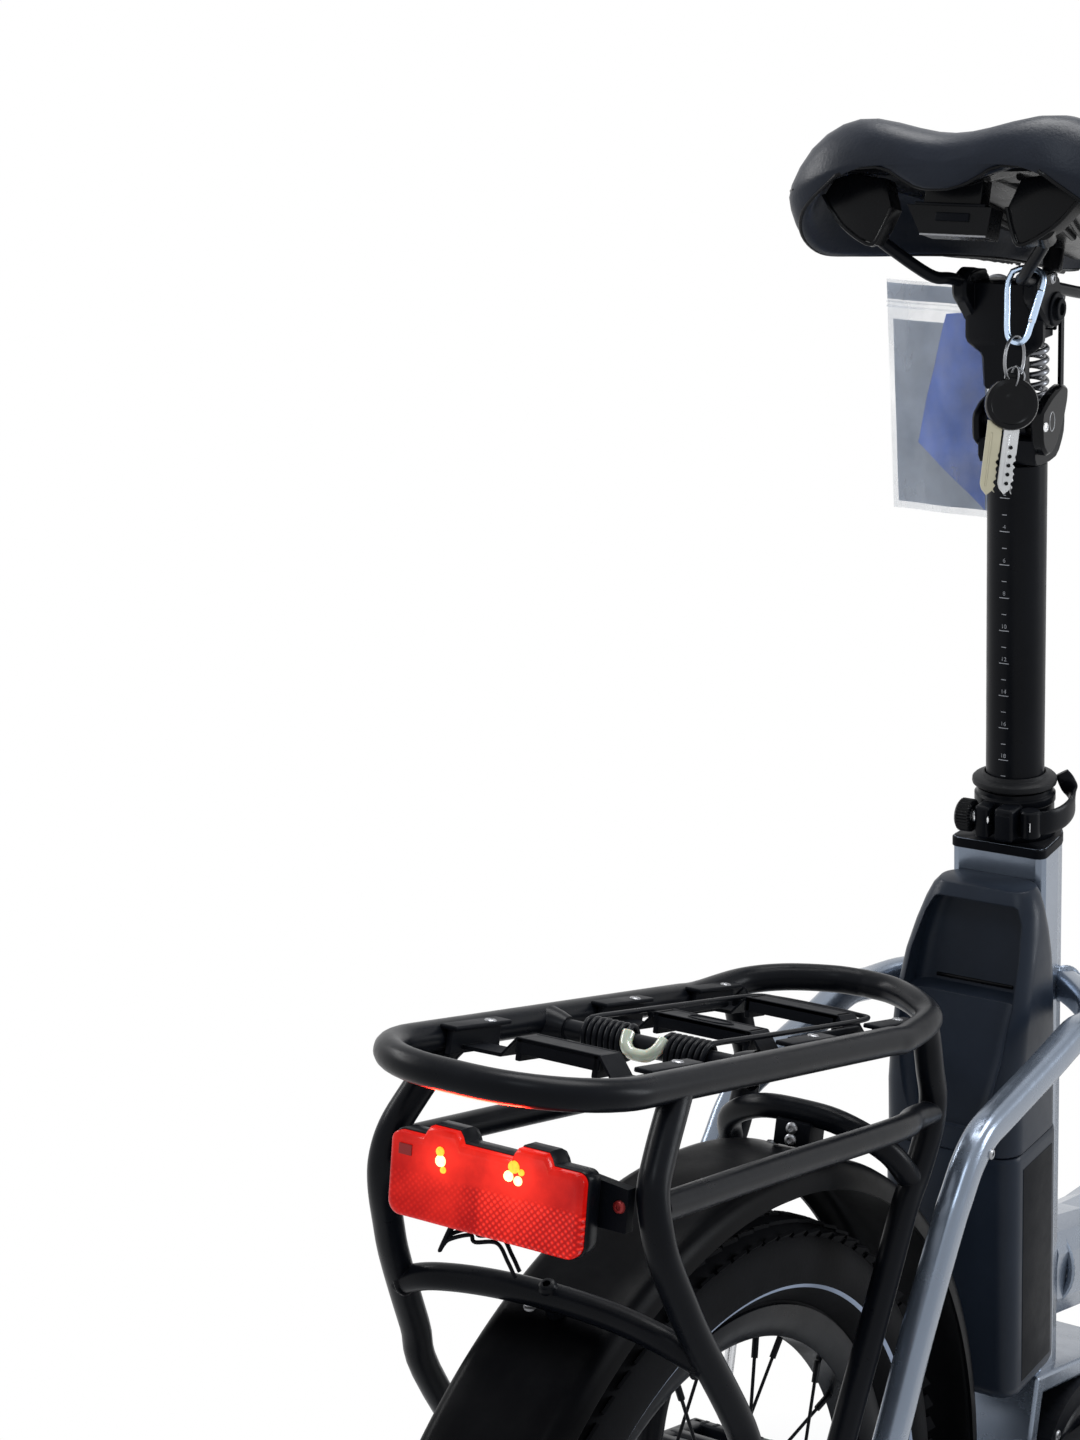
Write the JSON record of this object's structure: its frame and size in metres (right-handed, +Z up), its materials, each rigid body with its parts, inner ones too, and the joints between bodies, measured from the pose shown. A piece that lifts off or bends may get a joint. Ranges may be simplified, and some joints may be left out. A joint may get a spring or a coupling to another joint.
{
  "type": "electric city bicycle",
  "caption": "Electric city bicycle with mid motor, belt drive, centre stand, rear rack with spring clamp and a sprung seat post.",
  "frame": {"origin": "middle of the bicycle's bounding box at the ground", "axes": "+X ahead along the wheels, +Y to the rider's left, +Z up"},
  "size_m": [1.589, 0.6462, 1.1346],
  "materials": {
    "frame_paint": "satin",
    "black_paint": "satin",
    "bright_steel": "brushed",
    "blue_alloy": "satin",
    "black_plastic": "matte",
    "dark_cover": "matte",
    "black_rubber": "matte",
    "tyre_rubber": "matte",
    "saddle_skin": "matte",
    "red_lens": "gloss",
    "dark_screen": "gloss",
    "clear_sleeve": "gloss"
  },
  "bodies": {
    "frame": {"seat_tube": "frame_paint", "main_tube": "frame_paint", "seatstay_left": "frame_paint", "seatstay_right": "frame_paint", "chainstay_left": "frame_paint", "chainstay_right": "frame_paint", "motor_unit": "black_plastic", "drive_belt": "black_rubber", "rear_axle": "bright_steel", "rear_brake_caliper": "black_paint", "rear_mudguard": "black_plastic", "rack_deck": "black_paint", "rack_front_hoop": "black_paint", "rack_rear_hoop": "black_paint", "rear_light_housing": "black_plastic", "rear_light_lens": "red_lens", "seat_clamp": "black_paint", "seatpost_seal": "black_rubber"},
    "rear_wheel": {"rear_tyre": "tyre_rubber", "rear_rim": "black_paint", "rear_hub_and_spokes": "black_paint", "rear_sprocket": "bright_steel", "rear_brake_disc": "bright_steel"},
    "cranks": {"crank_left": "black_paint", "crank_right": "black_paint", "front_sprocket": "bright_steel"},
    "left_pedal": {"pedal_left": "black_plastic"},
    "right_pedal": {"pedal_right": "black_plastic"},
    "steering": {"fork": "black_paint", "stem": "black_paint", "handlebar": "black_paint", "grip_left": "black_rubber", "grip_right": "black_rubber", "display": "dark_screen", "front_light": "black_plastic", "front_mudguard": "black_plastic", "front_axle": "bright_steel", "front_brake_caliper": "black_paint"},
    "front_wheel": {"front_tyre": "tyre_rubber", "front_rim": "black_paint", "front_hub_and_spokes": "black_paint", "front_brake_disc": "bright_steel"},
    "left_lever": {"brake_lever_left": "black_paint"},
    "right_lever": {"brake_lever_right": "black_paint"},
    "stand": {"centre_stand": "black_paint"},
    "battery": {"battery_pack": "black_plastic", "battery_cover": "dark_cover"},
    "clamp_lever": {"seat_clamp_lever": "black_paint"},
    "seatpost": {"seatpost_tube": "black_paint", "seatpost_lower_head": "black_paint", "seatpost_spring": "bright_steel"},
    "rear_link": {"seatpost_rear_link": "black_paint"},
    "front_link": {"seatpost_front_link": "black_paint"},
    "saddle": {"seatpost_upper_head": "black_paint", "saddle_base": "black_plastic", "saddle_cushion": "saddle_skin"},
    "spring_clamp": {"rack_spring_clamp": "black_paint"},
    "sleeve": {"ticket_sleeve": "clear_sleeve"},
    "clip": {"carabiner": "blue_alloy"},
    "keys": {"key_bunch": "black_plastic"}
  },
  "joints": [
    {"name": "rear_wheel_spin", "type": "hinge", "parent": "frame", "child": "rear_wheel", "pos_m": [-0.4925, 0, 0.257], "axis": [0, 1, 0], "continuous": true},
    {"name": "crank_spin", "type": "hinge", "parent": "frame", "child": "cranks", "pos_m": [-0.0575, 0, 0.29], "axis": [0, 1, 0], "continuous": true},
    {"name": "left_pedal_spin", "type": "hinge", "parent": "cranks", "child": "left_pedal", "pos_m": [-0.2275, 0.1306, 0.29], "axis": [0, 1, 0], "continuous": true},
    {"name": "right_pedal_spin", "type": "hinge", "parent": "cranks", "child": "right_pedal", "pos_m": [0.1125, -0.1306, 0.29], "axis": [0, 1, 0], "continuous": true},
    {"name": "steering_turn", "type": "hinge", "parent": "frame", "child": "steering", "pos_m": [0.49495, 0, 0.24235], "axis": [-0.3256, 0, 0.9455], "range_deg": [-45, 45]},
    {"name": "front_wheel_spin", "type": "hinge", "parent": "steering", "child": "front_wheel", "pos_m": [0.5375, 0, 0.257], "axis": [0, 1, 0], "continuous": true},
    {"name": "left_lever_pull", "type": "hinge", "parent": "steering", "child": "left_lever", "pos_m": [0.22247, 0.20515, 1.11777], "axis": [0, 0, 1], "range_deg": [0, 11], "stiffness_Nm_per_rad": 0.6, "springref_deg": -20.05},
    {"name": "right_lever_pull", "type": "hinge", "parent": "steering", "child": "right_lever", "pos_m": [0.22247, -0.20515, 1.11777], "axis": [0, 0, -1], "range_deg": [0, 11], "stiffness_Nm_per_rad": 0.6, "springref_deg": -20.05},
    {"name": "stand_swing", "type": "hinge", "parent": "frame", "child": "stand", "pos_m": [-0.1675, 0, 0.228], "axis": [0, 1, 0], "range_deg": [0, 70]},
    {"name": "battery_tilt", "type": "hinge", "parent": "frame", "child": "battery", "pos_m": [-0.13172, 0, 0.38645], "axis": [0, -1, 0], "range_deg": [0, 12]},
    {"name": "clamp_lever_open", "type": "hinge", "parent": "frame", "child": "clamp_lever", "pos_m": [-0.22895, -0.0205, 0.72091], "axis": [0.2869, 0, -0.958], "range_deg": [0, 120]},
    {"name": "post_slide", "type": "slide", "parent": "frame", "child": "seatpost", "axis": [-0.2869, 0, 0.958], "range_m": [-0.12, 0.05]},
    {"name": "rear_link_swing", "type": "hinge", "parent": "seatpost", "child": "rear_link", "pos_m": [-0.28277, 0, 0.9547], "axis": [0, -1, 0], "range_deg": [0, 24], "stiffness_Nm_per_rad": 60, "springref_deg": -5.16, "deforming": ["seatpost_spring"]},
    {"name": "front_link_swing", "type": "hinge", "parent": "seatpost", "child": "front_link", "pos_m": [-0.24349, 0, 0.96646], "axis": [0, -1, 0], "range_deg": [0, 24]},
    {"name": "saddle_level", "type": "hinge", "parent": "rear_link", "child": "saddle", "pos_m": [-0.3017, 0, 1.01792], "axis": [0, -1, 0], "range_deg": [-24, 0]},
    {"name": "spring_clamp_lift", "type": "hinge", "parent": "frame", "child": "spring_clamp", "pos_m": [-0.618, 0, 0.613], "axis": [0, -1, 0], "range_deg": [0, 60], "stiffness_Nm_per_rad": 0.5, "springref_deg": -28.65},
    {"name": "sleeve_swing", "type": "hinge", "parent": "saddle", "child": "sleeve", "pos_m": [-0.2644, 0.022, 1.0317], "axis": [0, 1, 0], "range_deg": [-10, 25]},
    {"name": "clip_swing", "type": "hinge", "parent": "saddle", "child": "clip", "pos_m": [-0.35, -0.0255, 1.0285], "axis": [1, 0, 0], "range_deg": [-12, 12]},
    {"name": "keys_swing", "type": "hinge", "parent": "clip", "child": "keys", "pos_m": [-0.35, -0.0265, 0.995], "axis": [0, 1, 0], "range_deg": [-25, 25]}
  ],
  "couplings": [
    {"joint": "crank_spin", "follows": "rear_wheel_spin", "ratio": 0.6},
    {"joint": "front_link_swing", "follows": "rear_link_swing", "ratio": 1},
    {"joint": "saddle_level", "follows": "rear_link_swing", "ratio": -1}
  ]
}
